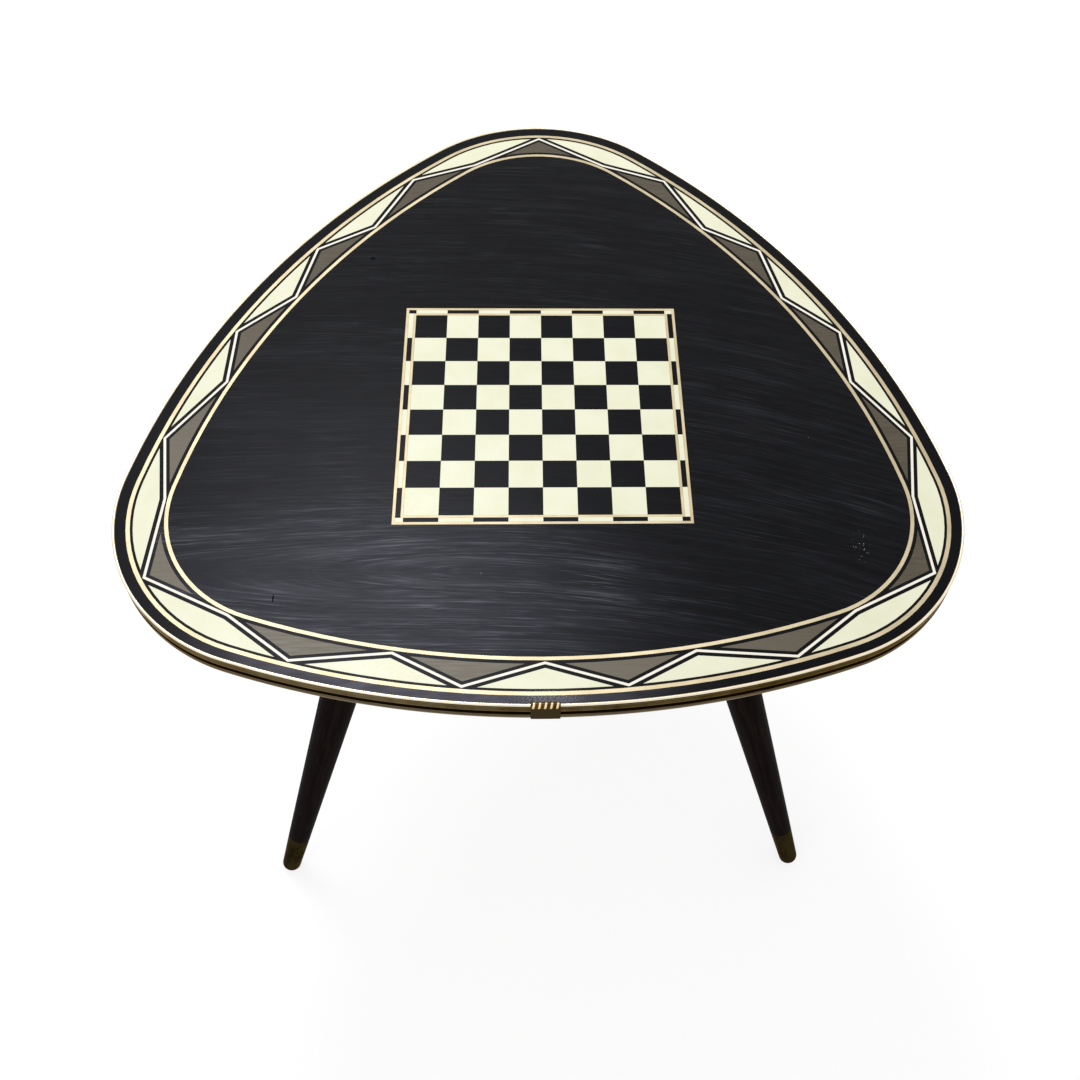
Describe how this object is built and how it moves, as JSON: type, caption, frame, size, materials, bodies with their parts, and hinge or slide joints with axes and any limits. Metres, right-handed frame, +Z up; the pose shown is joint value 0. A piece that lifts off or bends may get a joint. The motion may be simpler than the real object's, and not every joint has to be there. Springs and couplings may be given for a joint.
{
  "type": "chess side table",
  "caption": "Side table with a rounded triangular top carrying an inlaid chessboard and zigzag border, a metal edge band and splayed tapered screw-in legs with ferrules.",
  "frame": {"origin": "on the floor, at the middle of the table's box in plan", "axes": "+Z up; +Y to the rear, towards the corner of the top opposite the side with the band's clip; +X to the right seen from the front"},
  "size_m": [0.6115, 0.5964, 0.5624],
  "materials": {
    "core_board": "pressed chipboard, raw",
    "black_veneer": "black-stained grained veneer under satin lacquer",
    "backing_veneer": "brown-stained backing veneer, matt",
    "band_metal": "brass-toned drawn metal, bright on the bead, dulled on the face",
    "clip_brass": "pressed brass, worn bright on the ribs",
    "ivory_inlay": "ivory-toned, smooth under satin lacquer",
    "black_inlay": "black-stained under satin lacquer",
    "board_line": "pale gold line under satin lacquer",
    "gold_line": "pale gold line under satin lacquer",
    "white_line": "cream white line under satin lacquer",
    "taupe_inlay": "taupe-stained grained veneer under satin lacquer",
    "pressed_steel": "black-painted pressed steel",
    "bush_brass": "zinc-plated turned steel",
    "screw_zinc": "zinc-plated, passivated",
    "washer_fibre": "red-brown vulcanised fibre",
    "leg_wood": "black-stained beech, satin lacquer, worn",
    "ferrule_brass": "dull tarnished brass",
    "bolt_steel": "zinc-plated steel"
  },
  "bodies": {
    "table_top": {"top_core": "core_board", "top_veneer": "black_veneer", "underside_backing": "backing_veneer", "edge_band": "band_metal", "edge_splice_clip": "clip_brass", "chess_light_squares": "ivory_inlay", "chess_dark_squares": "black_inlay", "chess_inner_line": "board_line", "chess_light_strips": "ivory_inlay", "chess_dark_strips": "black_inlay", "chess_outer_line": "board_line", "border_outer_line": "gold_line", "border_inner_line": "gold_line", "border_zigzag": "white_line", "border_ivory_triangles": "ivory_inlay", "border_taupe_triangles": "taupe_inlay", "leg_plate_rear": "pressed_steel", "leg_bush_rear": "bush_brass", "plate_screws_rear": "screw_zinc", "leg_plate_front_left": "pressed_steel", "leg_bush_front_left": "bush_brass", "plate_screws_front_left": "screw_zinc", "leg_plate_front_right": "pressed_steel", "leg_bush_front_right": "bush_brass", "plate_screws_front_right": "screw_zinc"},
    "washer_rear": {"leg_washer_rear": "washer_fibre"},
    "leg_rear": {"leg_rear": "leg_wood", "leg_ferrule_rear": "ferrule_brass", "hanger_bolt_rear": "bolt_steel"},
    "washer_front_left": {"leg_washer_front_left": "washer_fibre"},
    "leg_front_left": {"leg_front_left": "leg_wood", "leg_ferrule_front_left": "ferrule_brass", "hanger_bolt_front_left": "bolt_steel"},
    "washer_front_right": {"leg_washer_front_right": "washer_fibre"},
    "leg_front_right": {"leg_front_right": "leg_wood", "leg_ferrule_front_right": "ferrule_brass", "hanger_bolt_front_right": "bolt_steel"}
  },
  "joints": [
    {"name": "leg_rear_draw", "type": "slide", "parent": "table_top", "child": "washer_rear", "axis": [0, 0.3223, -0.9466], "range_m": [0, 0.0125]},
    {"name": "leg_rear_turn", "type": "hinge", "parent": "washer_rear", "child": "leg_rear", "pos_m": [0, 0.08832, 0.544], "axis": [0, 0.3223, -0.9466], "range_deg": [0, 3600]},
    {"name": "leg_front_left_draw", "type": "slide", "parent": "table_top", "child": "washer_front_left", "axis": [-0.2791, -0.1611, -0.9466], "range_m": [0, 0.0125]},
    {"name": "leg_front_left_turn", "type": "hinge", "parent": "washer_front_left", "child": "leg_front_left", "pos_m": [-0.10566, -0.09468, 0.544], "axis": [-0.2791, -0.1611, -0.9466], "range_deg": [0, 3600]},
    {"name": "leg_front_right_draw", "type": "slide", "parent": "table_top", "child": "washer_front_right", "axis": [0.2791, -0.1611, -0.9466], "range_m": [0, 0.0125]},
    {"name": "leg_front_right_turn", "type": "hinge", "parent": "washer_front_right", "child": "leg_front_right", "pos_m": [0.10566, -0.09468, 0.544], "axis": [0.2791, -0.1611, -0.9466], "range_deg": [0, 3600]}
  ],
  "couplings": [
    {"joint": "leg_rear_turn", "follows": "leg_rear_draw", "rad_per_m": 5026.5},
    {"joint": "leg_front_left_turn", "follows": "leg_front_left_draw", "rad_per_m": 5026.5},
    {"joint": "leg_front_right_turn", "follows": "leg_front_right_draw", "rad_per_m": 5026.5}
  ]
}
